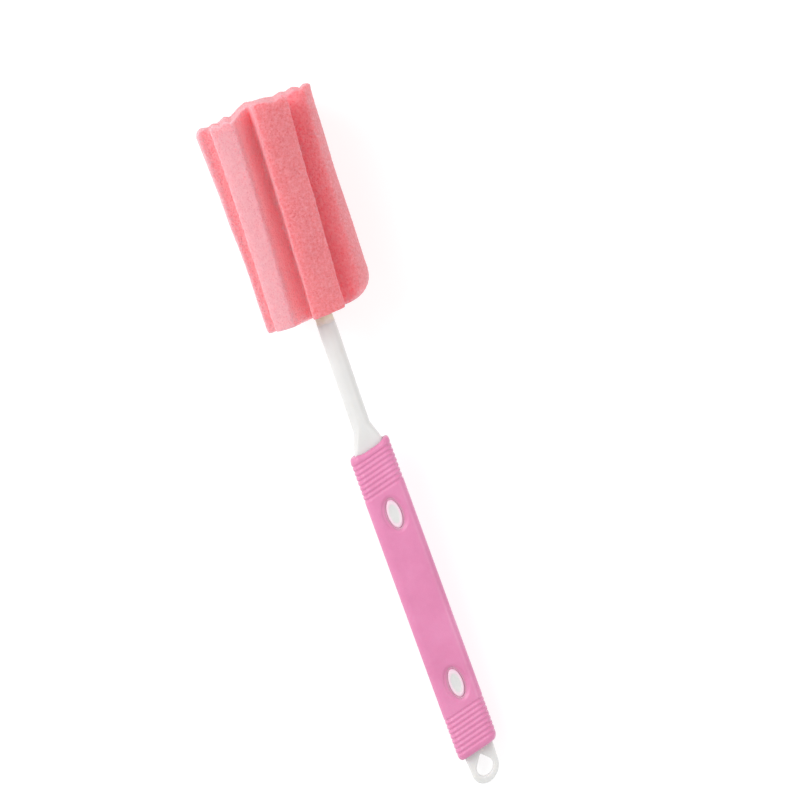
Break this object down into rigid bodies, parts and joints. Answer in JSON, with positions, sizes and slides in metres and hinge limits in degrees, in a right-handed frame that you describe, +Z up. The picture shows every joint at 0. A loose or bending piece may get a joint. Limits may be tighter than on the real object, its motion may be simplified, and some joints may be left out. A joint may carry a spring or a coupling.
{
  "type": "sponge bottle brush",
  "caption": "Hand brush for bottles: fluted foam head glued on a slim stem, flat soft grip with slanted ribs at both ends and two oval islands, and a hang tab with a teardrop hole.",
  "frame": {"origin": "on the table that the brush lies on, under the middle of its bounding box", "axes": "+X along the brush on the table, from the hang tab to the foam's tip; +Y across the grip's flat faces; +Z up from the table. The grip's own axis rises 5.17 degrees from the tab to the stem, because the brush lies on the tail of the grip and the base edge of the foam. The stem and the foam lean 1.05 degrees from it towards -Y"},
  "size_m": [0.2764, 0.0474, 0.0532],
  "materials": {
    "white_plastic": "satin moulded polypropylene",
    "pink_rubber": "soft satin overmould",
    "pink_foam": "open-cell polyurethane foam, fine pores",
    "adhesive": "cured hot-melt adhesive, slightly glossy"
  },
  "bodies": {
    "root": {"handle_core": "white_plastic", "grip_sleeve": "pink_rubber", "sponge_head": "pink_foam", "glue_collar": "adhesive"}
  },
  "joints": []
}
